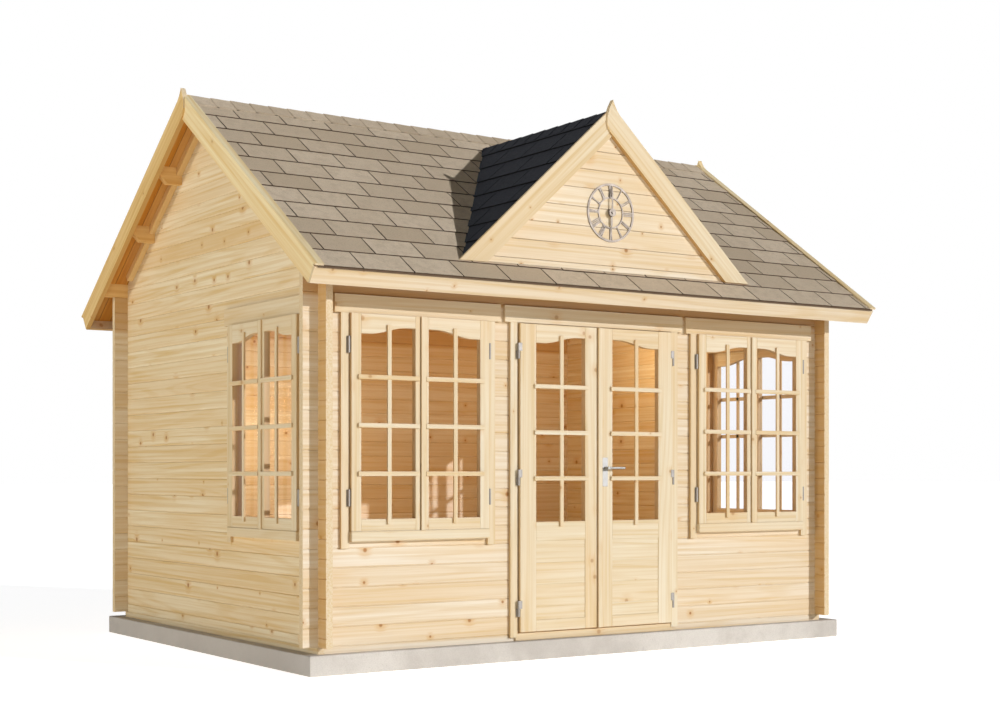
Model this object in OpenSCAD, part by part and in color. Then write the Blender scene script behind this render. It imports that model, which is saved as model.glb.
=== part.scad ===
// Log-built garden house with double doors, casement windows and a gable with a clock.
// Millimetres. Origin: middle of the slab's underside. The front faces -Y, +Z is up.

/* [Log walls] */
// Depth of the side walls over their outer faces
wall_dep = 3030; // [2800:10:4000]
// Thickness of a log
log_t = 44; // [34:1:70]
// Height of a log
log_h = 114; // [100:1:140]
// How far the crossed log ends stand out at the corners
log_end = 98; // [60:1:150]
// Height of the base beam under the lowest log
base_h = 40; // [30:1:60]
// Depth of the V groove between two logs
log_groove = 5; // [2:0.5:8]

/* [Foundation] */
// Thickness of the concrete slab
slab_h = 120; // [80:5:250]
// Slab margin on the left
slab_left = 80; // [40:5:95]
// Slab margin on the right
slab_right = 125; // [40:5:170]
// Slab margin in front
slab_front = 55; // [40:5:170]
// Slab margin behind
slab_back = 125; // [40:5:170]
// Thickness of the floor boards
floor_t = 28; // [18:1:36]

/* [Main roof] */
// Slope of the main roof
roof_pitch = 34.7; // [32:0.1:38]
// Height of the front wall from the headers to the roof boards
wall_over_header = 295; // [240:1:360]
// Overhang of the roof boards beyond the front and back walls
eave_over = 325; // [250:5:360]
// Overhang of the roof boards beyond the side walls
gable_over = 175; // [150:5:250]
// Thickness of the roof boards
deck_t = 28; // [18:1:34]
// Thickness of the shingle covering
cover_t = 10; // [6:1:14]
// Length of one leg of the ridge cap along the slope
cap_leg = 130; // [80:5:200]
// Width of a purlin
purlin_w = 58; // [44:1:80]
// Height of a purlin below the roof boards at its upper side
purlin_h = 112; // [90:1:140]

/* [Trim boards] */
// Thickness of the fascias and bargeboards
trim_t = 20; // [16:1:28]
// Extra thickness of the bargeboard that laps at the peak
lap_t = 12; // [4:1:30]
// Width of a fascia
fascia_w = 102; // [90:1:140]
// Width of a bargeboard
barge_w = 135; // [110:1:170]
// How far a main bargeboard stands above the covering
barge_rise = 13; // [8:1:25]
// Width of the strip on top of a main bargeboard, over the edge of the covering
edge_strip_w = 55; // [45:1:80]
// Height of a main bargeboard's pointed end above the peak
horn_h = 38; // [20:1:60]

/* [Clock gable] */
// Slope of the small roof over the clock gable
dormer_pitch = 42.5; // [40:0.5:44]
// How far its ridge lies below the main ridge
dormer_drop = 135; // [100:1:250]
// How far its cladding stands in front of the front wall
dormer_proud = 160; // [120:5:200]
// Thickness of its cladding
clad_t = 20; // [16:1:28]
// Height of one cladding board
clad_h = 120; // [90:1:140]
// Thickness of its roof boards
dormer_deck_t = 19; // [16:1:24]
// How far its bargeboards stand above its covering
dormer_rise = 20; // [10:1:30]
// Height of its bargeboard's pointed end above the peak
dormer_horn_h = 46; // [20:1:60]

/* [Windows] */
// Width of a pair of sashes
sash_pair_w = 958; // [800:2:1000]
// Bare wall between a corner and the nearest window header
corner_bare = 98; // [80:1:200]
// Gap between the headers of a window and the doors
header_gap = 31; // [20:1:120]
// Underside of the sashes above the slab
sash_bottom = 707; // [600:1:800]
// Top of the sashes and door leaves above the slab
sash_top = 1980; // [1900:1:2000]
// Thickness of a sash or door leaf
sash_t = 40; // [36:1:50]
// Width of an outer sash stile
sash_stile = 65; // [55:1:80]
// Width of a sash stile beside the meeting gap
sash_meet = 46; // [36:1:60]
// Height of the lower sash rail
sash_rail = 70; // [55:1:90]
// Height of the upper rail at the low side of its curve
head_rail = 117; // [100:1:140]
// Rise of the curved upper edge of the glass
head_rise = 44; // [20:1:60]
// Thickness of the glass
glass_t = 4; // [3:1:6]

/* [Casings] */
// Width of an upright casing board
casing_w = 55; // [45:1:70]
// Thickness of a casing board
casing_t = 20; // [16:1:25]
// Height of a header board
header_h = 103; // [90:1:115]
// How far a header reaches past the casing
header_over = 41; // [20:1:45]
// Height of a window sill
sill_h = 60; // [40:1:80]
// How far a casing reaches below the sill
casing_foot = 40; // [20:1:60]
// Width of the jamb that lines an opening
jamb_w = 34; // [30:1:44]

/* [Doors] */
// Width of the pair of door leaves
door_pair_w = 1224; // [1100:2:1260]
// Underside of the door leaves above the slab
door_bottom = 55; // [50:1:80]
// Gap round a moving door leaf
door_gap = 7; // [6:0.5:8]
// Width of a door stile beside the hinges
door_stile = 120; // [90:1:140]
// Width of a door stile beside the meeting gap
door_meet = 110; // [80:1:130]
// Lower edge of the door glass above the slab
door_glass_z = 741; // [700:1:900]
// Height of the rail under the door glass
door_mid_rail = 120; // [90:1:150]
// Height of one panel board in a leaf
panel_board_h = 137; // [90:1:160]
// Depth of the panel behind the face of the leaf
panel_set = 6; // [3:1:10]
// Width of the cover strip at the meeting gap
strip_w = 32; // [24:1:44]
// Thickness of the cover strip
strip_t = 12; // [8:1:16]

/* [Hardware] */
// Length of a hinge barrel
hinge_len = 98; // [70:1:130]
// Radius of a hinge barrel
hinge_r = 8; // [6:0.5:10]
// Height of the lock plate
lock_h = 185; // [150:1:230]
// Width of the lock plate
lock_w = 42; // [36:1:50]
// Length of the door lever
lever_len = 130; // [100:1:150]
// Height of the lever's spindle above the slab
lever_z = 1079; // [950:1:1150]

/* [Clock] */
// Outer radius of the dial
dial_r = 186; // [150:1:220]
// Width of the outer ring
ring_w = 13; // [9:1:18]
// Outer radius of the inner ring
inner_r = 100; // [80:1:120]
// Thickness of the dial and its distance to the hands
dial_t = 6; // [5:0.5:8]
// Height of the clock's centre above the foot of the gable
clock_up = 382; // [340:1:420]

/* [Hidden] */
$fn = 48;

eps = 0.01;
// Gap between pieces that lie on each other on a slope
seat_gap = 0.3;
sash_gap = 3;

// Front wall: half a pair of doors, a gap, a window with its casings and the bare corner
door_half = door_pair_w / 2;
door_head_half = door_half + door_gap + casing_w + header_over;
window_inset = corner_bare + header_over + casing_w + sash_gap;
hw = door_head_half + header_gap + sash_pair_w + 2 * window_inset - corner_bare;
hd = wall_dep / 2;
top = slab_h;
wall_len = 2 * hw;

// Colours as they read on the object
pine = [0.93, 0.85, 0.70];
pine_shade = [0.85, 0.74, 0.57];
shingle = [0.60, 0.55, 0.49];
anthracite = [0.20, 0.21, 0.24];
concrete = [0.80, 0.78, 0.75];
steel = [0.78, 0.77, 0.76];
pane = [0.75, 0.82, 0.85, 0.4];

// Main roof: layers, ridge, and heights at a distance y from the ridge and a depth below the surface
deck_d = cover_t + seat_gap;
roof_t = deck_d + deck_t;
frame_d = roof_t + seat_gap;
ridge_h = sash_top + door_gap + header_h + wall_over_header
    + hd * tan(roof_pitch) + frame_d / cos(roof_pitch);
function roof_z(y, depth) = top + ridge_h - abs(y) * tan(roof_pitch) - depth / cos(roof_pitch);
// A point at the eave, square to the slope, at a depth and a distance out from the deck's end
function eave_pt(depth, out) =
    let (y0 = hd + eave_over)
    [y0 - depth * sin(roof_pitch) + out * cos(roof_pitch),
     roof_z(y0, 0) - depth * cos(roof_pitch) - out * sin(roof_pitch)];

// Top of the highest whole log, which leaves room for a plate of at least a share of a log
plate_min = 0.3;
plate_z = top + base_h + log_h * floor((roof_z(hd, frame_d) - top - base_h) / log_h - plate_min);
log_rows = round((plate_z - top - base_h) / log_h);
roof_half_x = hw + gable_over;

// Small roof over the clock gable
dormer_y = -hd - dormer_proud;
dormer_deck_d = cover_t + seat_gap;
dormer_t = dormer_deck_d + dormer_deck_t;
function dormer_z(x, depth) =
    top + ridge_h - dormer_drop - abs(x) * tan(dormer_pitch) - depth / cos(dormer_pitch);
dormer_run = (dormer_z(0, 0) - roof_z(dormer_y, 0)) / tan(dormer_pitch);
// Height of the first joint of its cladding, as a share of a board, and the width of a V groove
clad_first = 0.36;
groove_w = 5;

// Purlins at the ridge and at thirds of the way down to each plate
purlin_ys = [0, 0.31 * hd, 0.63 * hd];

// Windows: middle of a pair from its corner, and the opening in the wall. The jambs stand behind the
// edges of the sashes and door leaves by a lap.
pair_mid = window_inset + sash_pair_w / 2;
jamb_lap = 13;
open_half = sash_pair_w / 2 + jamb_w - jamb_lap;
open_low = top + sash_bottom - jamb_w + jamb_lap;
open_high = top + sash_top + jamb_w - jamb_lap;
head_z = top + sash_top + door_gap;
header_proud = 2;
sill_proud = 6;
jamb_proud = casing_t / 2;

// Doors: leaf edges, with the meeting gap under the edge of the cover strip
meet_r = -strip_w / 3;
meet_l = meet_r - door_gap;
door_open_half = door_half + jamb_w - jamb_lap;
door_casing_foot = 22;
threshold_proud = casing_t * 0.7;

// Hinges: barrel beside the leaf's edge, plates that sink a little into the barrel, and a pin
hinge_out = 10;
hinge_leaf_w = 12;
hinge_plate = 3;
hinge_sink = 2;
hinge_play = 1;
hinge_pin_r = 4;
hinge_x = door_half + hinge_out;
hinge_y = -hd - sash_t + hinge_r - hinge_plate;
door_hinge_zs = [202, 1019, 1808];
window_hinge_zs = [902, 1796];

// Clock hands turn on one post in front of the dial
clock_y = dormer_y;
post_r = 9;
hand_t = 4;
hand_gap = 5.5;
hour_hand_w = 14;
minute_hand_w = 9;
running_gap = 0.06;
hand_boss_r = 26;
// Strokes of the numerals: width, pitch, lean and how far they run into the rings
stroke_w = 5;
stroke_pitch = 10;
stroke_lean = 5;
stroke_root = 4;

// Profile of stacked logs, seen along the logs: x is the thickness, from 0 to log_t
module log_profile(first_h, rows) {
    zs = [for (i = [0 : rows - 1]) top + base_h + (i == 0 ? 0 : first_h + (i - 1) * log_h)];
    ends = [for (i = [0 : rows - 1]) top + base_h + first_h + i * log_h];
    polygon(concat(
        [[0, top], [0, top + base_h - log_groove], [log_groove, top + base_h]],
        [for (i = [0 : rows - 1]) each [[0, zs[i] + log_groove], [0, ends[i] - log_groove],
                                        [log_groove, ends[i]]]],
        [for (i = [rows - 1 : -1 : 0]) each [[log_t - log_groove, ends[i]],
                                             [log_t, ends[i] - log_groove], [log_t, zs[i] + log_groove]]],
        [[log_t - log_groove, top + base_h], [log_t, top + base_h - log_groove], [log_t, top]]));
}

// Logs of the front and back walls run along X, from x0 to x1, at the front wall's place
module x_logs(x0, x1) {
    translate([x0, -hd, 0])
        rotate([90, 0, 90])
            linear_extrude(x1 - x0)
                log_profile(log_h, log_rows);
}

// Slots in which the side logs cross: each log keeps the middle half of its height
module x_log_slots(x0) {
    translate([x0, -hd - eps, top])
        cube([log_t, log_t + 2 * eps, base_h + log_h / 4]);
    for (i = [1 : log_rows])
        translate([x0, -hd - eps, top + base_h + (i - 0.25) * log_h])
            cube([log_t, log_t + 2 * eps, log_h / 2 + (i == log_rows ? log_h : 0)]);
}

// Cuts the base beam away under log ends that stand out
module end_cut(x0) {
    translate([x0, -hd - eps, top - eps])
        cube([log_end + eps, log_t + 2 * eps, base_h + 2 * eps]);
}

module window_hole() {
    translate([-open_half, -log_t, open_low])
        cube([2 * open_half, 3 * log_t, open_high - open_low]);
}

module front_wall_half() {
    difference() {
        x_logs(-hw - log_end, -door_open_half);
        x_log_slots(-hw);
        end_cut(-hw - log_end - eps);
        translate([-hw + pair_mid, -hd, 0]) window_hole();
    }
}

module front_wall_left() { color(pine) front_wall_half(); }
module front_wall_right() { color(pine) mirror([1, 0, 0]) front_wall_half(); }

module front_wall_over_door() {
    color(pine)
    intersection() {
        x_logs(-door_open_half, door_open_half);
        translate([-door_open_half, -hd - eps, open_high])
            cube([2 * door_open_half, log_t + 2 * eps, plate_z - open_high]);
    }
}

module back_wall() {
    color(pine)
    mirror([0, 1, 0])
    difference() {
        x_logs(-hw - log_end, hw + log_end);
        for (m = [0, 1])
            mirror([m, 0, 0]) {
                x_log_slots(-hw);
                end_cut(-hw - log_end - eps);
            }
    }
}

// Outline of a side wall under the roof boards, with ends that stand out below the eaves
module gable_outline() {
    out = hd + log_end;
    polygon([[-hd, top], [hd, top], [hd, top + base_h], [out, top + base_h],
             [out, roof_z(out, frame_d)], [0, roof_z(0, frame_d)], [-out, roof_z(out, frame_d)],
             [-out, top + base_h], [-hd, top + base_h]]);
}

// Slots in which the front logs cross a side wall, in the bands that the front logs keep
module y_log_slots() {
    for (i = [0 : log_rows - 1])
        translate([-eps, -hd, top + base_h + (i + 0.25) * log_h])
            cube([log_t + 2 * eps, log_t, log_h / 2]);
    translate([-eps, -hd, plate_z])
        cube([log_t + 2 * eps, log_t, log_h * 2]);
}

// The left wall, standing at x from 0 to log_t
module side_logs() {
    rows = ceil((ridge_h - base_h - log_h / 2) / log_h) + 1;
    difference() {
        intersection() {
            translate([0, hd + log_end, 0])
                rotate([90, 0, 0])
                    linear_extrude(2 * (hd + log_end))
                        log_profile(log_h / 2, rows);
            translate([-eps, 0, 0])
                rotate([90, 0, 90])
                    linear_extrude(log_t + 2 * eps)
                        gable_outline();
        }
        y_log_slots();
        mirror([0, 1, 0]) y_log_slots();
        translate([-eps, 0, 0]) purlin_row(log_t + 2 * eps);
        translate([0, -hd + pair_mid, 0]) rotate([0, 0, -90]) window_hole();
    }
}

module left_wall() { color(pine_shade) translate([-hw, 0, 0]) side_logs(); }
module right_wall() { color(pine_shade) mirror([1, 0, 0]) translate([-hw, 0, 0]) side_logs(); }

// Section of one purlin under the roof boards, upper side towards the ridge
module purlin_section(y) {
    low = roof_z(y, frame_d) - purlin_h;
    a = y == 0 ? -purlin_w / 2 : y;
    b = a + purlin_w;
    polygon(y == 0
        ? [[a, low], [b, low], [b, roof_z(b, frame_d)], [0, roof_z(0, frame_d)], [a, roof_z(a, frame_d)]]
        : [[a, low], [b, low], [b, roof_z(b, frame_d)], [a, roof_z(a, frame_d)]]);
}

// All purlins as straight bars of a length, from x = 0
module purlin_row(len) {
    rotate([90, 0, 90])
        linear_extrude(len)
            for (y = purlin_ys) {
                purlin_section(y);
                if (y > 0) mirror([1, 0]) purlin_section(y);
            }
}

// Purlin ends are cut back on a slant below, in front of the bargeboards
module purlin_end_cut() {
    slant = purlin_h * 0.65;
    for (y = purlin_ys, m = [0, 1])
        mirror([0, m, 0])
            translate([roof_half_x, y + 1.5 * purlin_w, roof_z(y, frame_d) - purlin_h])
                rotate([90, 0, 0])
                    linear_extrude(3 * purlin_w)
                        polygon([[eps, -eps], [eps, slant], [-slant, -eps]]);
}

module purlins() {
    color(pine_shade)
    difference() {
        translate([-roof_half_x, 0, 0]) purlin_row(2 * roof_half_x);
        purlin_end_cut();
        mirror([1, 0, 0]) purlin_end_cut();
    }
}

// Top logs of the front and back walls, bevelled to the roof, which carry the eaves
module wall_plates() {
    color(pine_shade)
    for (m = [0, 1])
        mirror([0, m, 0])
            translate([-roof_half_x, 0, 0])
                rotate([90, 0, 90])
                    linear_extrude(2 * roof_half_x)
                        polygon([[hd - log_t, plate_z], [hd, plate_z], [hd, roof_z(hd, frame_d)],
                                 [hd - log_t, roof_z(hd - log_t, frame_d)]]);
}

module foundation_slab() {
    color(concrete)
    translate([-hw - slab_left, -hd - slab_front, 0])
        cube([wall_len + slab_left + slab_right, wall_dep + slab_front + slab_back, slab_h]);
}

module floor_boards() {
    color(pine_shade)
    translate([-hw + log_t, -hd + log_t, top])
        cube([wall_len - 2 * log_t, wall_dep - 2 * log_t, floor_t]);
}

// One slope of a roof layer between two depths, which reaches out past the deck's end
module slope_layer(d0, d1, out) {
    polygon([[0, roof_z(0, d0)], eave_pt(d0, out), eave_pt(d1, out), [0, roof_z(0, d1)]]);
}

module along_ridge(half) {
    translate([-half, 0, 0])
        rotate([90, 0, 90])
            linear_extrude(2 * half)
                children();
}

module roof_deck_back() { color(pine_shade) along_ridge(roof_half_x) slope_layer(deck_d, roof_t, 0); }
module roof_deck_front() { mirror([0, 1, 0]) roof_deck_back(); }

// Covering of both slopes with the cap that is folded over the ridge between the edge strips
module roof_covering() {
    drip = trim_t * 1.3;
    cap_t = cover_t / 2;
    cap_y = cap_leg * cos(roof_pitch);
    color(shingle)
    for (m = [0, 1])
        mirror([0, m, 0]) {
            along_ridge(roof_half_x) slope_layer(0, cover_t, drip);
            along_ridge(roof_half_x + trim_t - edge_strip_w - seat_gap)
                polygon([[0, roof_z(0, -cap_t)], [cap_y, roof_z(cap_y, -cap_t)],
                         [cap_y, roof_z(cap_y, 0)], [0, roof_z(0, 0)]]);
        }
}

// Fascias along the eaves, which cover the lower ends of the bargeboards
module eave_fascias() {
    color(pine)
    for (m = [0, 1])
        mirror([0, m, 0])
            along_ridge(roof_half_x + trim_t)
                polygon([eave_pt(deck_d, seat_gap), eave_pt(deck_d, trim_t),
                         eave_pt(deck_d + fascia_w, trim_t), eave_pt(deck_d + fascia_w, seat_gap)]);
}

// Points of a quadratic curve from a to c, drawn towards b
function curve(a, b, c, n) = [for (i = [1 : n]) let (t = i / n)
    (1 - t) * (1 - t) * a + 2 * t * (1 - t) * b + t * t * c];

// Upper end of the lapping bargeboard: a point over the peak and a round edge past the middle.
// The outline starts on the upper edge and ends on the lower edge; v is the board's upright height
// and h that of the point.
function horn(pitch, v, h) =
    let (u = 0.4 * barge_w, side = -0.3 * v)
    concat([[u, -u * tan(pitch)]],
           curve([u, -u * tan(pitch)], [0.2 * u, 0], [0, h], 5),
           curve([0, h], [side, -0.25 * v], [side * 0.85, -0.6 * v], 4),
           curve([side * 0.85, -0.6 * v], [side * 0.7, -0.85 * v], [0, -v], 3));

// Lapping board from a peak at the origin down to the right
module lap_board(pitch, v, h, tail) {
    polygon(concat(horn(pitch, v, h), tail));
}

// Board of the other slope, which stops at the edge of the lapping board
module butt_board(pitch, v, h, tail) {
    difference() {
        polygon(concat([[0, 0], [0, -v]], tail));
        mirror([1, 0]) lap_board(pitch, v, h, tail);
    }
}

// Main bargeboards: the peak, upright height and the square end behind the fascia
barge_v = barge_w / cos(roof_pitch);
barge_peak = roof_z(0, -barge_rise);
barge_tail = [for (d = [barge_w - barge_rise, -barge_rise]) eave_pt(d, 0) - [0, barge_peak]];

// A bargeboard with the strip on its upper edge, which lies on the covering and reaches over the fascia
module bargeboard(lap) {
    t = trim_t + (lap ? lap_t : 0);
    translate([-roof_half_x - t, 0, 0])
        rotate([90, 0, 90]) {
            translate([0, barge_peak, 0])
                linear_extrude(t)
                    if (lap) lap_board(roof_pitch, barge_v, horn_h, barge_tail);
                    else butt_board(roof_pitch, barge_v, horn_h, barge_tail);
            linear_extrude(edge_strip_w) edge_strip(hd);
            translate([0, 0, t]) linear_extrude(edge_strip_w - t) edge_strip(seat_gap);
        }
}

// Section of the strip from a distance y to the ridge down to the fascia's face
module edge_strip(y) {
    polygon([[y, roof_z(y, -barge_rise)], eave_pt(-barge_rise, trim_t), eave_pt(-seat_gap, trim_t),
             [y, roof_z(y, -seat_gap)]]);
}

// On the left gable the back board laps, on the right gable the front board does
module bargeboards_front() {
    color(pine) {
        mirror([0, 1, 0]) bargeboard(false);
        rotate([0, 0, 180]) bargeboard(true);
    }
}

module bargeboards_back() {
    color(pine) {
        bargeboard(true);
        mirror([1, 0, 0]) bargeboard(false);
    }
}

// Everything under the main covering's front slope, as a wedge to cut the small roof with
module under_front_slope() {
    far = hd + 2 * dormer_proud;
    along_ridge(hw)
        polygon([[0, roof_z(0, -seat_gap)], [-far, roof_z(far, -seat_gap)], [-far, top], [0, top]]);
}

// One layer of the small roof between two depths
module dormer_layer(d0, d1) {
    run = dormer_run;
    difference() {
        translate([0, -eps, 0])
            rotate([90, 0, 0])
                linear_extrude(-dormer_y - eps)
                    polygon([[0, dormer_z(0, d0)], [run, dormer_z(run, d0)], [run, dormer_z(run, d1)],
                             [0, dormer_z(0, d1)], [-run, dormer_z(run, d1)], [-run, dormer_z(run, d0)]]);
        under_front_slope();
    }
}

module dormer_deck() { color(pine_shade) dormer_layer(dormer_deck_d, dormer_t); }
module dormer_covering() { color(anthracite) dormer_layer(0, cover_t); }

// A square bar along X on its edge, which cuts a V groove
module groove_bar(len) {
    rotate([45, 0, 0])
        translate([0, -groove_w / 2, -groove_w / 2])
            cube([len, groove_w, groove_w]);
}

// Boards of the clock gable, with V grooves, cut to the two roofs
module dormer_front() {
    low = roof_z(dormer_y, 0);
    high = dormer_z(0, dormer_t + seat_gap);
    run = (high - low) / tan(dormer_pitch);
    color(pine)
    difference() {
        translate([0, dormer_y + clad_t, 0])
            rotate([90, 0, 0])
                linear_extrude(clad_t)
                    polygon([[0, high], [run, low], [-run, low]]);
        under_front_slope();
        for (z = [low + clad_first * clad_h : clad_h : high])
            translate([-dormer_run, dormer_y, z]) groove_bar(2 * dormer_run);
    }
}

dormer_v = barge_w / cos(dormer_pitch);
dormer_peak = dormer_z(0, -dormer_rise);
dormer_foot = roof_z(dormer_y, -seat_gap) - dormer_peak;
dormer_tail = [for (v = [dormer_v, 0]) [(-dormer_foot - v) / tan(dormer_pitch), dormer_foot]];

module dormer_board(lap) {
    translate([0, dormer_y, dormer_peak])
        rotate([90, 0, 0])
            linear_extrude(trim_t + (lap ? lap_t : 0))
                if (lap) lap_board(dormer_pitch, dormer_v, dormer_horn_h, dormer_tail);
                else butt_board(dormer_pitch, dormer_v, dormer_horn_h, dormer_tail);
}

module dormer_bargeboard_left() { color(pine) mirror([1, 0, 0]) dormer_board(false); }
module dormer_bargeboard_right() { color(pine) dormer_board(true); }

// Strokes of the numerals I, V and X, each between the rings of the dial
module stroke(x0, x1) {
    r0 = inner_r - stroke_root;
    r1 = dial_r - ring_w + stroke_root;
    w = stroke_w / 2;
    polygon([[x0 - w, r0], [x0 + w, r0], [x1 + w, r1], [x1 - w, r1]]);
}

module numeral(word) {
    for (i = [0 : len(word) - 1])
        translate([(i - (len(word) - 1) / 2) * stroke_pitch, 0]) {
            if (word[i] == "I") stroke(0, 0);
            if (word[i] == "V") {
                stroke(0, -stroke_lean);
                stroke(0, stroke_lean);
            }
            if (word[i] == "X") {
                stroke(-stroke_lean, stroke_lean);
                stroke(stroke_lean, -stroke_lean);
            }
        }
}

hours = ["XII", "I", "II", "III", "IV", "V", "VI", "VII", "VIII", "IX", "X", "XI"];

module facing_front(y) {
    translate([0, y, roof_z(dormer_y, 0) + clock_up]) rotate([90, 0, 0]) children();
}

// Open dial: two rings joined by the numerals, and the post that carries the hands
module clock_dial() {
    color(steel)
    facing_front(clock_y) {
        linear_extrude(dial_t) {
            difference() {
                circle(dial_r, $fn = 96);
                circle(dial_r - ring_w, $fn = 96);
            }
            difference() {
                circle(inner_r, $fn = 96);
                circle(inner_r - ring_w * 0.6, $fn = 96);
            }
            for (i = [0 : 11]) rotate(-30 * i) numeral(hours[i]);
        }
        cylinder(r = post_r, h = dial_t + 2 * hand_t + 3 * hand_gap);
    }
}

// A hand from its boss to a point, drawn up the dial
module hand(reach, width) {
    root = (post_r + hand_boss_r) / 2;
    difference() {
        union() {
            cylinder(r = hand_boss_r, h = hand_t);
            linear_extrude(hand_t)
                polygon([[-width / 2, root], [-width / 2, reach * 0.75], [0, reach],
                         [width / 2, reach * 0.75], [width / 2, root]]);
        }
        translate([0, 0, -eps]) cylinder(r = post_r + running_gap, h = hand_t + 2 * eps);
    }
}

module hour_hand() {
    color(steel) facing_front(clock_y - dial_t - hand_gap) rotate(180) hand(inner_r, hour_hand_w);
}

module minute_hand() {
    color(steel)
    facing_front(clock_y - dial_t - 2 * hand_gap - hand_t)
        hand(dial_r - ring_w * 2, minute_hand_w);
}

// Puts a window, drawn with the wall's outer face at y = 0, into one of the four walls
module at_window(side) {
    if (side == "front_left") translate([-hw + pair_mid, -hd, 0]) children();
    if (side == "front_right") translate([hw - pair_mid, -hd, 0]) children();
    if (side == "left") translate([-hw, -hd + pair_mid, 0]) rotate([0, 0, -90]) children();
    if (side == "right") translate([hw, -hd + pair_mid, 0]) rotate([0, 0, 90]) children();
}

// Lining of an opening: a ring from z0 to z1 that the sashes lie against
module jamb_ring(half, z0, z1, y0, depth) {
    translate([0, y0 + depth, 0])
        rotate([90, 0, 0])
            linear_extrude(depth)
                difference() {
                    translate([-half, z0]) square([2 * half, z1 - z0]);
                    translate([-half + jamb_w, z0 + jamb_w])
                        square([2 * half - 2 * jamb_w, z1 - z0 - 2 * jamb_w]);
                }
}

// Upright casing boards and the header over them
module casings(half, low) {
    for (m = [0, 1])
        mirror([m, 0, 0])
            translate([half, -casing_t, low])
                cube([casing_w, casing_t, head_z - low]);
    translate([-half - casing_w - header_over, -casing_t - header_proud, head_z])
        cube([2 * (half + casing_w + header_over), casing_t + header_proud, header_h]);
}

module window_frame() {
    half = sash_pair_w / 2 + sash_gap;
    sill_low = top + sash_bottom - sill_h;
    color(pine) {
        jamb_ring(open_half, open_low, open_high, 0, log_t + jamb_proud);
        casings(half, sill_low - casing_foot);
        translate([-half, -sash_t - sill_proud, sill_low])
            cube([2 * half, sash_t + sill_proud, sill_h]);
    }
}

module window_frame_front_left() { at_window("front_left") window_frame(); }
module window_frame_front_right() { at_window("front_right") window_frame(); }
module window_frame_left() { at_window("left") window_frame(); }
module window_frame_right() { at_window("right") window_frame(); }

// Outline of the glass in a leaf: straight below, with a swept curve that rises towards the middle
module pane_outline(x_out, x_in, low, high) {
    steps = 10;
    function sweep(t) = (1 - cos(180 * min(1, max(0, (t - 0.15) / 0.7)))) / 2;
    polygon(concat([[x_in, low], [x_out, low]],
                   [for (i = [0 : steps]) let (t = i / steps)
                       [x_out + (x_in - x_out) * t, high + head_rise * sweep(t)]]));
}

// One glazed leaf from x0 to x1 with its pane from p_out to p_in
module glazed_leaf(x0, x1, z0, p_out, p_in, p_low) {
    rotate([90, 0, 0])
        linear_extrude(sash_t)
            difference() {
                translate([x0, z0]) square([x1 - x0, top + sash_top - z0]);
                pane_outline(p_out, p_in, p_low, top + sash_top - head_rail);
            }
}

module sashes() {
    half = sash_pair_w / 2;
    low = top + sash_bottom;
    color(pine) {
        glazed_leaf(-half, meet_r - sash_gap, low, -half + sash_stile, -sash_meet, low + sash_rail);
        glazed_leaf(meet_r, half, low, half - sash_stile, sash_meet, low + sash_rail);
        translate([meet_r, -sash_t - strip_t, low])
            cube([strip_w, strip_t, top + sash_top - low]);
    }
}

module sashes_front_left() { at_window("front_left") sashes(); }
module sashes_front_right() { at_window("front_right") sashes(); }
module sashes_left() { at_window("left") sashes(); }
module sashes_right() { at_window("right") sashes(); }

// A pane set in the middle of the leaf's thickness
module pane_sheet(x_out, x_in, low) {
    translate([0, -sash_t / 2 + glass_t / 2, 0])
        rotate([90, 0, 0])
            linear_extrude(glass_t)
                pane_outline(x_out, x_in, low, top + sash_top - head_rail);
}

module window_glass() {
    half = sash_pair_w / 2;
    low = top + sash_bottom + sash_rail;
    color(pane)
    for (side = ["front_left", "front_right", "left", "right"])
        at_window(side) {
            pane_sheet(-half + sash_stile, -sash_meet, low);
            pane_sheet(half - sash_stile, sash_meet, low);
        }
}

// Barrel of a hinge with a plate on one side, to plate_x
module hinge_half(len, plate_x, plate_y, plate_t) {
    cylinder(r = hinge_r, h = len);
    translate([min(0, plate_x), plate_y, 0]) cube([abs(plate_x), plate_t, len]);
}

module window_hinges() {
    x = sash_pair_w / 2 + sash_gap + hinge_r;
    y = -casing_t - hinge_r - hinge_plate + hinge_sink;
    color(steel)
    for (side = ["front_left", "front_right", "left", "right"])
        at_window(side)
            for (m = [0, 1], z = window_hinge_zs)
                mirror([m, 0, 0])
                    translate([x, y, top + z - hinge_len / 2])
                        hinge_half(hinge_len, hinge_leaf_w, hinge_r - hinge_sink, hinge_plate);
}

module door_frame() {
    color(pine)
    translate([0, -hd, 0]) {
        difference() {
            jamb_ring(door_open_half, top, open_high, door_gap, log_t - door_gap + jamb_proud);
            translate([-hw, -log_t, top - eps]) cube([2 * hw, 4 * log_t, jamb_w + eps]);
        }
        casings(door_half + door_gap, top + door_casing_foot);
        for (m = [0, 1])
            mirror([m, 0, 0])
                translate([door_half + door_gap, 0, top])
                    cube([jamb_w - jamb_lap - door_gap, door_gap, open_high - top]);
        translate([-door_open_half, -threshold_proud, top])
            cube([2 * door_open_half, log_t + threshold_proud, door_bottom - door_gap]);
        translate([-door_open_half, 0, head_z])
            cube([2 * door_open_half, door_gap, open_high - head_z]);
    }
}

// A door leaf: stiles and rails round a pane, with a boarded panel below
module door_leaf(x0, x1, p_out, p_in) {
    low = top + door_bottom;
    panel_low = low + sash_rail;
    panel_high = top + door_glass_z - door_mid_rail;
    joints = floor((panel_high - panel_low - groove_w) / panel_board_h);
    p0 = min(p_out, p_in);
    difference() {
        glazed_leaf(x0, x1, low, p_out, p_in, top + door_glass_z);
        translate([p0, -sash_t - eps, panel_low])
            cube([abs(p_out - p_in), panel_set + eps, panel_high - panel_low]);
        for (i = [1 : joints])
            translate([p0, -sash_t + panel_set, panel_high - i * panel_board_h])
                groove_bar(abs(p_out - p_in));
    }
}

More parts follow.
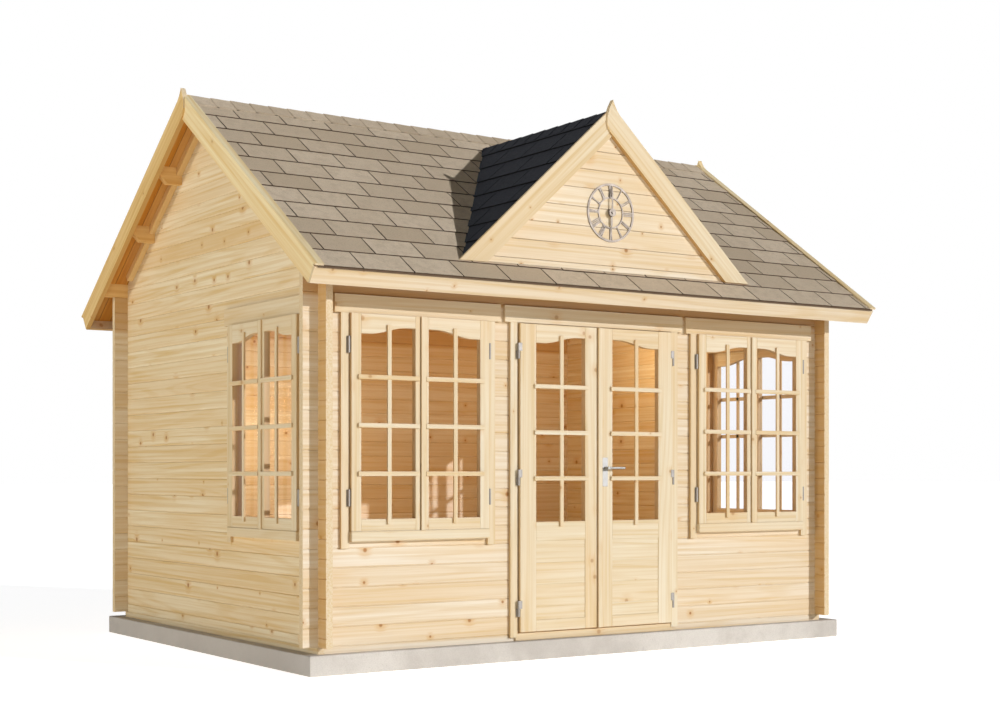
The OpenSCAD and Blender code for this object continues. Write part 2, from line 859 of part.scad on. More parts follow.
module left_door_leaf() {
    color(pine)
    translate([0, -hd, 0])
        door_leaf(-door_half, meet_l, -door_half + door_stile, -door_meet);
}

module right_door_leaf() {
    color(pine)
    translate([0, -hd, 0]) {
        door_leaf(meet_r, door_half, door_half - door_stile, door_meet);
        translate([meet_r, -sash_t - strip_t, top + door_bottom])
            cube([strip_w, strip_t, sash_top - door_bottom]);
    }
}

module left_door_glass() {
    color(pane)
    translate([0, -hd, 0])
        pane_sheet(-door_half + door_stile, -door_meet, top + door_glass_z);
}

module right_door_glass() { mirror([1, 0, 0]) left_door_glass(); }

// Lower halves of the door hinges, with plates on the casings and pins that carry the leaves
module door_frame_hinges() {
    half_len = (hinge_len - hinge_play) / 2;
    seat = -hd - casing_t - hinge_y;
    color(steel)
    for (m = [0, 1], z = door_hinge_zs)
        mirror([m, 0, 0])
            translate([hinge_x, hinge_y, top + z - hinge_len / 2]) {
                hinge_half(half_len, hinge_leaf_w, hinge_r - hinge_sink, seat - hinge_r + hinge_sink);
                cylinder(r = hinge_pin_r, h = hinge_len - 2 * hinge_r);
            }
}

// Upper halves, bored for the pins, with plates on the faces of the leaves
module leaf_hinges() {
    half_len = (hinge_len - hinge_play) / 2;
    color(steel)
    for (z = door_hinge_zs)
        translate([hinge_x, hinge_y, top + z + hinge_play / 2])
            difference() {
                hinge_half(half_len, -hinge_out - hinge_leaf_w, -hinge_r, hinge_plate);
                translate([0, 0, -eps]) cylinder(r = hinge_pin_r + running_gap, h = half_len - hinge_r);
            }
}

module right_leaf_hinges() { leaf_hinges(); }
module left_leaf_hinges() { mirror([1, 0, 0]) leaf_hinges(); }

// Lock plate on the right leaf beside the cover strip, with a hole for the lever's spindle
lock_inset = 6;
lock_x = meet_r + strip_w + lock_w / 2 + lock_inset;
lock_t = 3;
lock_below = 0.64 * lock_h;
spindle_r = 9;
spindle_play = 0.5;

module lock_plate() {
    color(steel)
    translate([lock_x, -hd - sash_t, top + lever_z])
        rotate([90, 0, 0])
            difference() {
                translate([-lock_w / 2, -lock_below, 0]) cube([lock_w, lock_h, lock_t]);
                translate([0, 0, -eps]) cylinder(r = spindle_r + running_gap, h = lock_t + 2 * eps);
            }
}

module door_lever() {
    stand = 45;
    arm_r = 8;
    color(steel)
    translate([lock_x, -hd - sash_t, top + lever_z])
        rotate([90, 0, 0]) {
            translate([0, 0, spindle_play]) cylinder(r = spindle_r, h = stand);
            translate([0, 0, stand - arm_r]) rotate([0, 90, 0]) cylinder(r = arm_r, h = lever_len);
            translate([lever_len, 0, stand - arm_r]) sphere(arm_r);
        }
}

foundation_slab();
floor_boards();
front_wall_left();
front_wall_right();
front_wall_over_door();
back_wall();
left_wall();
right_wall();
wall_plates();
purlins();
roof_deck_front();
roof_deck_back();
roof_covering();
eave_fascias();
bargeboards_front();
bargeboards_back();
dormer_front();
dormer_deck();
dormer_covering();
dormer_bargeboard_left();
dormer_bargeboard_right();
clock_dial();
hour_hand();
minute_hand();
window_frame_front_left();
window_frame_front_right();
window_frame_left();
window_frame_right();
sashes_front_left();
sashes_front_right();
sashes_left();
sashes_right();
window_glass();
window_hinges();
door_frame();
door_frame_hinges();
left_door_leaf();
left_door_glass();
left_leaf_hinges();
right_door_leaf();
right_door_glass();
right_leaf_hinges();
lock_plate();
door_lever();
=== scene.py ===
import math
import random

import bmesh
import bpy
from mathutils import Matrix, Vector


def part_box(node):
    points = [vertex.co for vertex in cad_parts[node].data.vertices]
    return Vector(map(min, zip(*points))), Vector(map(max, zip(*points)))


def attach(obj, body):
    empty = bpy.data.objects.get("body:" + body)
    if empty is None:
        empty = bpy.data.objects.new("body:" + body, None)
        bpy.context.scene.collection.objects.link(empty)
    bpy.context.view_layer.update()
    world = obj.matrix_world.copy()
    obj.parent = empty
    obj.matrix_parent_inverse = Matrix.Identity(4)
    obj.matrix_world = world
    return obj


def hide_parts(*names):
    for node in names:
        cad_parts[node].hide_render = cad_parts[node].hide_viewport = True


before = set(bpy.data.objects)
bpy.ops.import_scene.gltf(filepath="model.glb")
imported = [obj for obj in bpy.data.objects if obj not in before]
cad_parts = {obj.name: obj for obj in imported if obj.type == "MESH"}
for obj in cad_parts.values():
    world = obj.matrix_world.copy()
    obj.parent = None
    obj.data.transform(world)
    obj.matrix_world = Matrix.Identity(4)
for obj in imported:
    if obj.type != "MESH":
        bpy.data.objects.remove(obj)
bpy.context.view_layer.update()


# Foundation slab: one block of concrete cast in a wooden form. Its edges are rubbed round with a
# trowel, it has faint stains, and its faces towards ±X carry painted shade, darker and cooler.
def srgb(red, green, blue):
    """A colour as it reads on screen, 0 to 255, as the linear colour that a shader takes."""
    parts = [c / 255 for c in (red, green, blue)]
    return [c / 12.92 if c <= 0.04045 else ((c + 0.055) / 1.055) ** 2.4 for c in parts] + [1]


def add(tree, kind, inputs=None, **settings):
    """A shader node with its settings, its input values and its links."""
    node = tree.nodes.new("ShaderNode" + kind)
    for name, value in settings.items():
        setattr(node, name, value)
    for name, value in (inputs or {}).items():
        if isinstance(value, bpy.types.NodeSocket):
            tree.links.new(value, node.inputs[name])
        else:
            node.inputs[name].default_value = value
    return node


def calc(tree, operation, *values):
    """The result of one sum on numbers or sockets."""
    return add(tree, "Math", dict(enumerate(values)), operation=operation).outputs[0]


def mix(tree, share, first, second):
    """The first colour, with a share of the second."""
    return add(tree, "Mix", {0: share, 6: first, 7: second}, data_type="RGBA").outputs[2]


def spread(tree, value, low, high, to_low=0.0, to_high=1.0):
    """Value carried smoothly from low..high to to_low..to_high, and held outside."""
    return add(tree, "MapRange", {0: value, 1: low, 2: high, 3: to_low, 4: to_high},
               interpolation_type="SMOOTHSTEP").outputs[0]


def noise(tree, vector, scale, detail, rough):
    return add(tree, "TexNoise", {"Vector": vector, "Scale": scale, "Detail": detail,
                                  "Roughness": rough}).outputs[0]


def new_material(name):
    made = bpy.data.materials.new(name)
    made.use_nodes = True
    return made, made.node_tree, made.node_tree.nodes["Principled BSDF"]


def coat(tree, shader, colour, rough, height, depth):
    """Gives the shader its colour, roughness and relief; depth is the relief's height in metres."""
    bump = add(tree, "Bump", {"Height": height, "Distance": depth, "Strength": 1.0})
    for name, value in (("Base Color", colour), ("Roughness", rough), ("Normal", bump.outputs[0])):
        tree.links.new(value, shader.inputs[name])


def put(name, bm, material, body, stands_for=()):
    """Ends a piece: its mesh, material, body and material slot, and the CAD nodes it stands for."""
    mesh = bpy.data.meshes.new(name)
    bm.to_mesh(mesh)
    bm.free()
    mesh.materials.append(material)
    piece = bpy.data.objects.new(name, mesh)
    bpy.context.scene.collection.objects.link(piece)
    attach(piece, body)
    if stands_for:
        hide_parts(*stands_for)


concrete, tree, shader = new_material("concrete")
spot = add(tree, "TexCoord").outputs["Object"]
stains = noise(tree, spot, 1.6, 8, 0.62)
clouds = noise(tree, spot, 7, 6, 0.6)
sand = noise(tree, spot, 140, 3, 0.7)
pores = add(tree, "TexVoronoi", {"Vector": spot, "Scale": 46}).outputs["Distance"]
pits = spread(tree, pores, 0.04, 0.11)
cast = mix(tree, spread(tree, stains, 0.36, 0.66), srgb(185, 179, 171), srgb(208, 203, 195))
cast = mix(tree, calc(tree, "MULTIPLY", spread(tree, clouds, 0.5, 0.75), 0.35), cast, srgb(173, 165, 156))
cast = mix(tree, calc(tree, "MULTIPLY", spread(tree, sand, 0.35, 0.75), 0.3), cast, srgb(158, 151, 143))
cast = mix(tree, pits, srgb(158, 150, 141), cast)
# Painted shade: the faces towards ±X are drawn darker and cooler.
painted_shade_side = add(tree, "SeparateXYZ", {0: add(tree, "TexCoord").outputs["Normal"]}).outputs[0]
cast = mix(tree, spread(tree, calc(tree, "ABSOLUTE", painted_shade_side), 0.6, 0.9, 0.0, 0.7), cast, srgb(180, 177, 178))
relief = calc(tree, "ADD", calc(tree, "MULTIPLY", sand, 0.4), pits)
coat(tree, shader, cast, spread(tree, clouds, 0.3, 0.7, 0.78, 0.92), relief, 0.0015)

slab_low, slab_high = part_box("foundation_slab")
rubbed = 0.006
bm = bmesh.new()
made = bmesh.ops.create_cube(bm, size=1)["verts"]
bmesh.ops.scale(bm, vec=slab_high - slab_low, verts=made)
bmesh.ops.translate(bm, vec=(slab_high + slab_low) / 2, verts=made)
bmesh.ops.bevel(bm, geom=bm.edges[:], offset=rubbed, segments=2, profile=0.5, affect="EDGES", material=-1)
put("slab", bm, concrete, "house", ["foundation_slab"])


# Log walls: planed spruce logs stacked with tongue and groove and cross-notched at the corners, so
# that every second end stands out. Each log has its own tone, and small knots.
def pine(name, along=None, across=None, rows=None, joint=0.0, pale=(227, 216, 197), amber=(208, 182, 138),
         knots=1.0, knot_step=0.33, seed=0.0, variety=0.24, painted_shade_past=None, under=0.0):
    """Planed pale softwood. On a CAD node, along and across are the directions of the grain, and rows
    the direction, start and pitch of the boards, with a dark joint between them. Without along, the
    grain lies on the piece's UV map. Knots is the strength of the knots, about knot_step apart. Painted
    shade: the wood is tanned past the direction and distance in painted_shade_past, or by the share under
    on its lower faces; on the UV map, the edges square to a board's face are tanned."""
    made, tree, shader = new_material(name)
    places = add(tree, "TexCoord").outputs
    if along:
        def dot(socket, direction):
            return add(tree, "VectorMath", {0: socket, 1: direction}, operation="DOT_PRODUCT").outputs["Value"]

        run, wide = dot(places["Object"], along), dot(places["Object"], across)
        end = calc(tree, "GREATER_THAN", calc(tree, "ABSOLUTE", dot(places["Normal"], along)), 0.75)
        row, edge, fade = seed, 1.0, 0.02
        # Painted shade: a tan past a plane, or on the faces that look down, where shade falls.
        if painted_shade_past:
            past = calc(tree, "ABSOLUTE", dot(places["Object"], painted_shade_past[0]))
            tan = spread(tree, past, painted_shade_past[1] - fade, painted_shade_past[1] + fade, 0.0, 0.7)
        elif under:
            tan = spread(tree, dot(places["Normal"], (0, 0, -1)), 0.6, 0.75, 0.0, under)
        if rows:
            step = calc(tree, "DIVIDE", calc(tree, "SUBTRACT", dot(places["Object"], rows[0]), rows[1]), rows[2])
            row = calc(tree, "ADD", calc(tree, "FLOOR", step), seed)
            edge = calc(tree, "MULTIPLY", calc(tree, "PINGPONG", step, 0.5), rows[2])
        tone = add(tree, "TexWhiteNoise", {"W": row}, noise_dimensions="1D").outputs["Value"]
    else:
        lie = add(tree, "SeparateXYZ", {0: places["UV"]}).outputs
        board = add(tree, "Attribute", attribute_name="board").outputs["Color"]
        marks = add(tree, "SeparateColor", {0: board}).outputs
        run, wide, tone, end, edge = lie[0], lie[1], marks[0], marks[1], 1.0
        # Painted shade: a tan on the edges square to a board's face, in the gaps between boards.
        tan = calc(tree, "MULTIPLY", marks[2], 0.45)
    run = calc(tree, "ADD", run, calc(tree, "MULTIPLY", tone, 37.0))
    wide = calc(tree, "ADD", wide, calc(tree, "MULTIPLY", tone, 11.0))

    def flat(scale_run, scale_wide, shift=0.0):
        """A place on the board, stretched along the grain."""
        return add(tree, "CombineXYZ", {0: calc(tree, "MULTIPLY", run, scale_run),
                                        1: calc(tree, "MULTIPLY", wide, scale_wide), 2: shift}).outputs[0]

    # Knots: most cells of a loose grid hold one, with a dark core and a halo that bends the grain.
    cells = add(tree, "TexVoronoi", {"Vector": flat(1 / knot_step, 1 / knot_step), "Scale": 1.0},
                voronoi_dimensions="2D")
    lot = add(tree, "SeparateColor", {0: cells.outputs["Color"]}).outputs
    away = calc(tree, "MULTIPLY", cells.outputs["Distance"], knot_step)
    has_knot = calc(tree, "MULTIPLY", calc(tree, "GREATER_THAN", lot[0], 0.25), knots)
    size = spread(tree, lot[1], 0.0, 1.0, 0.38, 1.3)
    knot_r = calc(tree, "DIVIDE", away, size)
    core = calc(tree, "MULTIPLY", spread(tree, knot_r, 0.006, 0.016, 1.0, 0.0), has_knot)
    halo = calc(tree, "MULTIPLY", spread(tree, knot_r, 0.008, 0.06, 1.0, 0.0), has_knot)
    wide = calc(tree, "ADD", wide, calc(tree, "MULTIPLY", halo, 0.014))

    # Grain: fine streaks and fibres, growth rings, and a slow blush over the board.
    streaks = noise(tree, flat(0.45, 38, 3.0), 1.0, 3, 0.62)
    fibres = noise(tree, flat(5, 210, 7.0), 1.0, 1, 0.6)
    slow = noise(tree, flat(0.3, 6.0, 1.0), 1.0, 1, 0.4)
    rings = calc(tree, "SINE", calc(tree, "MULTIPLY", slow, 58.0))
    rings = spread(tree, rings, -0.2, 1.0)
    blush = noise(tree, flat(0.5, 2.2, 5.0), 1.0, 1, 0.5)

    # Colour, from the pale wood to the knots, then the painted shade, the sawn ends and the joints.
    grain = calc(tree, "ADD", calc(tree, "MULTIPLY", spread(tree, streaks, 0.38, 0.66), 0.5),
                 calc(tree, "MULTIPLY", rings, 0.24))
    grain = calc(tree, "ADD", grain, calc(tree, "MULTIPLY", spread(tree, fibres, 0.45, 0.8), 0.16))
    wood = mix(tree, grain, srgb(*pale), srgb(*amber))
    wood = mix(tree, calc(tree, "MULTIPLY", spread(tree, blush, 0.42, 0.7), 0.34), wood, srgb(214, 179, 124))
    wood = mix(tree, calc(tree, "MULTIPLY", tone, variety), wood, srgb(208, 174, 119))
    wood = mix(tree, calc(tree, "MULTIPLY", halo, 0.42), wood, srgb(202, 155, 90))
    wood = mix(tree, calc(tree, "MULTIPLY", core, 0.8), wood, srgb(158, 104, 52))
    cut = noise(tree, places["Object"], 110, 3, 0.6)
    cut = mix(tree, spread(tree, cut, 0.3, 0.7), srgb(220, 203, 174), srgb(211, 187, 146))
    # The tan colour of the painted shade.
    if painted_shade_past or under or not along:
        wood = mix(tree, tan, wood, srgb(191, 147, 84))
    wood = mix(tree, end, wood, cut)
    if joint:
        seam = spread(tree, edge, joint * 0.3, joint, 1.0, 0.0)
        wood = mix(tree, calc(tree, "MULTIPLY", seam, 0.75), wood, srgb(120, 78, 40))
    relief = calc(tree, "SUBTRACT", fibres, calc(tree, "MULTIPLY", seam, 8.0)) if joint else fibres
    shader.inputs["Specular IOR Level"].default_value = 0.12
    coat(tree, shader, wood, spread(tree, streaks, 0.3, 0.7, 0.62, 0.78), relief, 0.0003)
    return made


def dress(material, *names):
    """Gives CAD nodes a material in all their slots."""
    for name in names:
        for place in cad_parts[name].material_slots:
            place.material = material


log_h, log_foot = 0.114, 0.16
wall_x, wall_y, eave_logs_z = 2.0, -1.515, 2.19
# Painted shade: the front and back logs are tanned above eave_logs_z, in the shade of the eaves.
dress(pine("front_logs", (1, 0, 0), (0, 1, 1), ((0, 0, 1), log_foot, log_h), painted_shade_past=((0, 0, 1), eave_logs_z)),
      "front_wall_left", "front_wall_right", "front_wall_over_door", "back_wall")
# Painted shade: the side logs are drawn more amber than the front logs, for the shade on the side walls, and tanned
# on their ends past the front and back walls, in the shade of the corners.
dress(pine("side_logs", (0, 1, 0), (1, 0, 1), ((0, 0, 1), log_foot - log_h / 2, log_h),
           pale=(233, 221, 195), amber=(208, 176, 115), seed=40.0, variety=0.36, painted_shade_past=((0, 1, 0), -wall_y)),
      "left_wall", "right_wall")


# Floor: planed softwood boards with tongue and groove, laid along the house on the slab and nailed
# through the tongues.
floor_board_w = 0.096
dress(pine("floor_wood", (1, 0, 0), (0, 1, 1), ((0, 1, 0), 0.0, floor_board_w), joint=0.003, seed=80.0),
      "floor_boards")


# Plates and purlins: planed beams of softwood along the house, their orange tone painted shade. They
# lie in notches of the side walls and carry the roof.
beam_step = 0.3
dress(pine("beam_wood", (1, 0, 0), (0, 1, 1), ((0, 1, 0), 0.0, beam_step),
           pale=(232, 194, 130), amber=(206, 154, 84), seed=120.0), "wall_plates", "purlins")


# Roof boards: narrow boards nailed side by side on the purlins. They run up the slope, and show from
# below in the overhang; their dark orange tone is painted shade.
pitch = math.radians(34.7)
roof_board_x, roof_board_w = 0.02, 0.088
for name, side, seed in (("roof_deck_front", -1, 160.0), ("roof_deck_back", 1, 200.0)):
    slope = (0, side * math.cos(pitch), -math.sin(pitch))
    dress(pine(name + "_wood", slope, (1, side * math.sin(pitch), math.cos(pitch)),
               ((1, 0, 0), roof_board_x, roof_board_w), joint=0.003,
               pale=(205, 142, 55), amber=(175, 105, 33), seed=seed, variety=0.1), name)


# Gable battens: square planed strips of softwood, nailed to the gable walls under the roof boards.
# They close the joint between the two.
chance = random.Random(7)


def new_joinery():
    """An empty mesh with room for the grain's UV map and for the marks of each board."""
    bm = bmesh.new()
    bm.loops.layers.uv.new("grain")
    bm.loops.layers.float_color.new("board")
    bm.faces.layers.int.new("laid")
    return bm


def lay_grain(bm, run):
    """Lays the grain on the faces made last: UV in metres along run and across, one tone a board, and
    marks of its ends and of the edges square to its face; the edge mark carries painted shade."""
    uv, board = bm.loops.layers.uv["grain"], bm.loops.layers.float_color["board"]
    laid = bm.faces.layers.int["laid"]
    tone, shift = chance.random(), Vector((chance.uniform(0, 40), chance.uniform(0, 40)))
    side, depth = [k for k in range(3) if k != run]
    for face in bm.faces:
        if face[laid]:
            continue
        face[laid] = 1
        end, edge = abs(face.normal[run]) > 0.75, abs(face.normal[1]) < 0.6
        for loop in face.loops:
            c = loop.vert.co
            flat = (c[side], c[depth]) if end else (c[run], c[side] + c[depth])
            loop[uv].uv = shift + Vector(flat)
            loop[board] = (tone, float(end), float(edge), 1.0)


def plank(bm, low, high, run, ease=0.0015):
    """A planed board between two corners with eased edges; run is the axis of its grain."""
    low, high = Vector(low), Vector(high)
    made = bmesh.ops.create_cube(bm, size=1)["verts"]
    bmesh.ops.scale(bm, vec=high - low, verts=made)
    bmesh.ops.translate(bm, vec=(high + low) / 2, verts=made)
    edges = list({e for v in made for e in v.link_edges})
    bmesh.ops.bevel(bm, geom=edges, offset=ease, segments=1, profile=0.5, affect="EDGES", material=-1)
    lay_grain(bm, run)


ridge_z = 3.6009
batten_w, batten_h, roof_t = 0.042, 0.045, 0.038
batten_run, peak_gap, hair = 1.42, 0.03, 0.0005
bm = new_joinery()
for side in (-1, 1):
    xs = sorted((side * wall_x, side * (wall_x + batten_w)))
    plank(bm, (xs[0], peak_gap, -roof_t - batten_h), (xs[1], batten_run / math.cos(pitch), -roof_t - hair), 1)
under_roof = Matrix.Translation((0, 0, ridge_z)) @ Matrix.Rotation(-pitch, 4, "X")
bmesh.ops.transform(bm, matrix=under_roof, verts=bm.verts)
turned = bmesh.ops.duplicate(bm, geom=bm.verts[:] + bm.edges[:] + bm.faces[:])["geom"]
bmesh.ops.rotate(bm, cent=(0, 0, 0), matrix=Matrix.Rotation(math.pi, 3, "Z"),
                 verts=[g for g in turned if isinstance(g, bmesh.types.BMVert)])
batten_wood = pine("batten_wood", pale=(250, 222, 168), amber=(234, 190, 124), knots=0.3)
put("gable_battens", bm, batten_wood, "house")


# Fascias and bargeboards: smooth boards nailed to the ends of the roof boards. The boards of the
# gables run down the slope and lap at the peak, with a strip over the edge of the shingles.
one_board = 3.0  # a pitch past the width of any piece
# Painted shade: the fascias and bargeboards are tanned on their lower faces, and the back bargeboards are drawn
# darker and more amber than the front ones.
dress(pine("fascia_wood", (1, 0, 0), (0, 0, 1), ((0, 1, 0), 0.0, one_board), knots=0.7, seed=240.0,
           under=0.7), "eave_fascias")
for name, side, seed, pale, amber in (("bargeboards_front", -1, 280.0, (241, 225, 185), (221, 188, 124)),
                                      ("bargeboards_back", 1, 320.0, (226, 198, 142), (200, 157, 86))):
    slope = (0, side * math.cos(pitch), -math.sin(pitch))
    dress(pine(name + "_wood", slope, (1, side * math.sin(pitch), math.cos(pitch)), ((1, 0, 0), 0.0, one_board),
               pale=pale, amber=amber, knots=0.7, seed=seed, under=0.7), name)


# Shingles of the main roof: three-tab bitumen shingles with mineral grit, nailed in rows from the eave
# up, each row half a tab on. The cut edges are dark, partly their own bitumen and partly painted shade
# for the shadow line under each row, and folded pieces cap the ridge.
def grit(name, fresh, worn, core, cut):
    """Bitumen with mineral grit. A tab's own tone and its cut edges are in the attribute tab."""
    made, tree, shader = new_material(name)
    spot = add(tree, "TexCoord").outputs["Object"]
    marks = add(tree, "SeparateColor", {0: add(tree, "Attribute", attribute_name="tab").outputs["Color"]}).outputs
    grains = noise(tree, spot, 420, 2, 0.7)
    flecks = add(tree, "TexVoronoi", {"Vector": spot, "Scale": 330}).outputs["Color"]
    fleck = add(tree, "SeparateColor", {0: flecks}).outputs[0]
    patches = noise(tree, spot, 16, 4, 0.65)
    base = mix(tree, marks[0], srgb(*fresh), srgb(*worn))
    base = mix(tree, calc(tree, "MULTIPLY", spread(tree, patches, 0.4, 0.68), 0.6), base, srgb(*worn))
    base = mix(tree, calc(tree, "MULTIPLY", spread(tree, fleck, 0.72, 0.95), 0.24), base, srgb(*core))
    base = mix(tree, calc(tree, "MULTIPLY", spread(tree, grains, 0.5, 0.72), 0.2), base, srgb(*core))
    # Cut edges: the bitumen's own dark, deepened as painted shade for the shadow line under each row.
    base = mix(tree, marks[1], base, srgb(*cut))
    shader.inputs["Specular IOR Level"].default_value = 0.15
    coat(tree, shader, base, spread(tree, grains, 0.3, 0.7, 0.8, 0.95), calc(tree, "ADD", grains, fleck), 0.0012)
    return made


def mark_faces(bm, faces, tone, up, cut=1.0):
    """Notes a shingle's tone on its faces, and how dark the cut edges are, all but the face towards up."""
    tab = bm.loops.layers.float_color["tab"]
    for face in faces:
        for loop in face.loops:
            loop[tab] = (tone, 0.0 if face.normal.dot(up) > 0.6 else cut, 0.0, 1.0)


def shingle(bm, slope, left, right, low, long, butt):
    """One tab on a slope: a thin wedge from its butt at the distance low up to the row above."""
    feather, bed = 0.0012, 0.0004
    made = bmesh.ops.create_cube(bm, size=1)["verts"]
    bmesh.ops.scale(bm, vec=(right - left, long, 1), verts=made)
    for v in made:
        thick = butt if v.co.y > 0 else feather
        v.co.z = thick if v.co.z > 0 else bed
    bmesh.ops.translate(bm, vec=((left + right) / 2, low - long / 2, 0), verts=made)
    bmesh.ops.transform(bm, matrix=slope, verts=made)
    faces = list({f for v in made for f in v.link_faces})
    bmesh.ops.recalc_face_normals(bm, faces=faces)
    mark_faces(bm, faces, chance.random(), Vector(slope.col[2][:3]))


def slope_frame(ridge, along, down, up):
    """Matrix from a slope's own directions: along the ridge, down the slope and square to it."""
    made = Matrix((along, down, up)).transposed().to_4x4()
    made.translation = ridge
    return made


def felt(name, hollow, raised):
    """Bitumen felt under the shingles, which shows in the slots between them; its dark tone is partly painted shade
    in the slots.
    """
    made, tree, shader = new_material(name)
    grains = noise(tree, add(tree, "TexCoord").outputs["Object"], 300, 3, 0.7)
    coat(tree, shader, mix(tree, grains, srgb(*hollow), srgb(*raised)),
         spread(tree, grains, 0.3, 0.7, 0.85, 0.95), grains, 0.001)
    return made


brown = grit("brown_grit", (227, 208, 181), (203, 183, 155), (107, 89, 71), (87, 70, 56))
dress(felt("brown_felt", (74, 58, 44), (112, 92, 72)), "roof_covering")

eave_y, drip = 1.84, 0.026
slope_len = eave_y / math.cos(pitch) + drip
row_h, row_lap, tab_w, slot_w = 0.2, 0.003, 1 / 3, 0.009
rows, tabs, first_slot, least_tab = 11, 17, -1.893, 0.012
dormer_ridge_z, dormer_pitch = ridge_z - 0.135, math.radians(42.5)
clad_y = -1.675


def under_dormer(x, y):
    """Whether a place on the front slope lies well inside the small roof."""
    margin = 0.02
    over, here = dormer_ridge_z - abs(x) * math.tan(dormer_pitch), ridge_z + y * math.tan(pitch)
    return y > clad_y + margin and over > here + margin


for name, side, left, right in (("front_shingles", -1, -2.139, 2.151), ("back_shingles", 1, -2.151, 2.139)):
    bm = bmesh.new()
    bm.loops.layers.float_color.new("tab")
    slope = slope_frame((0, 0, ridge_z), (1, 0, 0), (0, side * math.cos(pitch), -math.sin(pitch)),
                        (0, side * math.sin(pitch), math.cos(pitch)))
    for row in range(rows):
        low = slope_len - row * row_h
        start = first_slot - 3 * tab_w + (row % 2) * tab_w / 2
        for k in range(tabs):
            x0, x1 = start + k * tab_w + slot_w / 2, start + (k + 1) * tab_w - slot_w / 2
            x0, x1 = max(x0, left), min(x1, right)
            corners = [(x, -t * math.cos(pitch)) for x in (x0, x1) for t in (low, low - row_h)]
            if x1 - x0 < least_tab or (side < 0 and all(under_dormer(*c) for c in corners)):
                continue
            foot = low + chance.uniform(-0.001, 0.001)
            shingle(bm, slope, x0, x1, foot, row_h + row_lap, chance.uniform(0.0075, 0.009))
    put(name, bm, brown, "house")


def ridge_caps(bm, place, angle, leg, start, stop, step):
    """Folded cap pieces along a ridge, each lying on the end of the one before."""
    count = round((stop - start) / step)
    step = (stop - start) / count
    thick, lip, rise, fall, overlap = 0.004, -0.007, 0.005, -0.0045, 1.12
    fold = [Vector((0, side * leg * math.cos(angle), lift - abs(side) * leg * math.sin(angle))) for lift, side in
            ((lip, -1), (thick, -1), (thick, 0), (thick, 1), (lip, 1), (0.0, 0))]
    for k in range(count):
        ring = [bm.verts.new(p + Vector((start + k * step, 0, rise))) for p in fold]
        face = bm.faces.new(ring)
        grown = bmesh.ops.extrude_face_region(bm, geom=[face])["geom"]
        far = [g for g in grown if isinstance(g, bmesh.types.BMVert)]
        bmesh.ops.translate(bm, vec=(step * overlap, 0, fall), verts=far)
        bmesh.ops.transform(bm, matrix=place, verts=ring + far)
        faces = list({f for v in ring + far for f in v.link_faces})
        bmesh.ops.recalc_face_normals(bm, faces=faces)
        mark_faces(bm, faces, chance.random(), Vector((0, 0, 1)), 0.35)


bm = bmesh.new()
bm.loops.layers.float_color.new("tab")
cap_step, cap_leg, cap_lift, cap_ends = 0.137, 0.132, 0.0065, (-2.138, 2.136)
ridge_caps(bm, Matrix.Translation((0, 0, ridge_z + cap_lift)), pitch, cap_leg, *cap_ends, cap_step)
put("ridge_caps", bm, brown, "house")


# Clock gable: planed boards with V joints, cut to the two roofs, under a small roof of its own with
# dark shingles and two bargeboards that lap at the peak.
clad_foot, clad_h, dormer_board_w = 2.4844, 0.12, 0.09
dress(pine("gable_wood", (1, 0, 0), (0, 1, 1), ((0, 0, 1), clad_foot, clad_h), joint=0.0009,
           pale=(235, 221, 198), amber=(216, 189, 142), knot_step=0.25, seed=360.0), "dormer_front")
dress(pine("dormer_deck_wood", (0, 1, 0), (1, 0, 1), ((1, 0, 0), 0.0, dormer_board_w), joint=0.003, seed=400.0),
      "dormer_deck")
# Painted shade: the bargeboards of the small roof are tanned on their lower faces.
for name, side, seed in (("dormer_bargeboard_left", -1, 440.0), ("dormer_bargeboard_right", 1, 480.0)):
    slope = (side * math.cos(dormer_pitch), 0, -math.sin(dormer_pitch))
    dress(pine(name + "_wood", slope, (side * math.sin(dormer_pitch), 1, math.cos(dormer_pitch)),
               ((0, 1, 0), 0.0, one_board), pale=(225, 210, 181), amber=(206, 177, 127),
               knots=0.8, seed=seed, under=0.8), name)
dress(felt("dark_felt", (20, 20, 22), (36, 36, 40)), "dormer_covering")

dark = grit("dark_grit", (32, 35, 44), (25, 28, 36), (14, 15, 18), (10, 11, 14))
dormer_half, dormer_rows, dormer_tabs, least_row = 1.1184, 8, 6, 0.02
dormer_cap_leg, dormer_cap_lift, dormer_cap_end, dormer_back = 0.11, 0.004, -0.1, -0.19
dormer_len = dormer_half / math.cos(dormer_pitch)
bm = bmesh.new()
bm.loops.layers.float_color.new("tab")
for side in (-1, 1):
    slope = slope_frame((0, 0, dormer_ridge_z), (0, 1, 0),
                        (side * math.cos(dormer_pitch), 0, -math.sin(dormer_pitch)),
                        (side * math.sin(dormer_pitch), 0, math.cos(dormer_pitch)))
    for row in range(dormer_rows):
        low = dormer_len - row * row_h
        for k in range(dormer_tabs):
            y0 = clad_y + k * tab_w - (row % 2) * tab_w / 2
            y1 = y0 + tab_w - slot_w
            y0 = max(y0, clad_y + hair)
            high = max(low - row_h - row_lap, 0.0)
            if low - high > least_row and y0 < dormer_back:
                shingle(bm, slope, y0, y1, low, low - high, chance.uniform(0.008, 0.0095))
dormer_ridge = Matrix.Translation((0, 0, dormer_ridge_z + dormer_cap_lift)) @ Matrix.Rotation(math.pi / 2, 4, "Z")
ridge_caps(bm, dormer_ridge, dormer_pitch, dormer_cap_leg, clad_y + hair, dormer_cap_end, cap_step)
bmesh.ops.bisect_plane(bm, geom=bm.verts[:] + bm.edges[:] + bm.faces[:], plane_co=(0, 0, ridge_z + hair),
                       plane_no=(0, -math.sin(pitch), math.cos(pitch)), clear_inner=True)
put("dormer_shingles", bm, dark, "house")


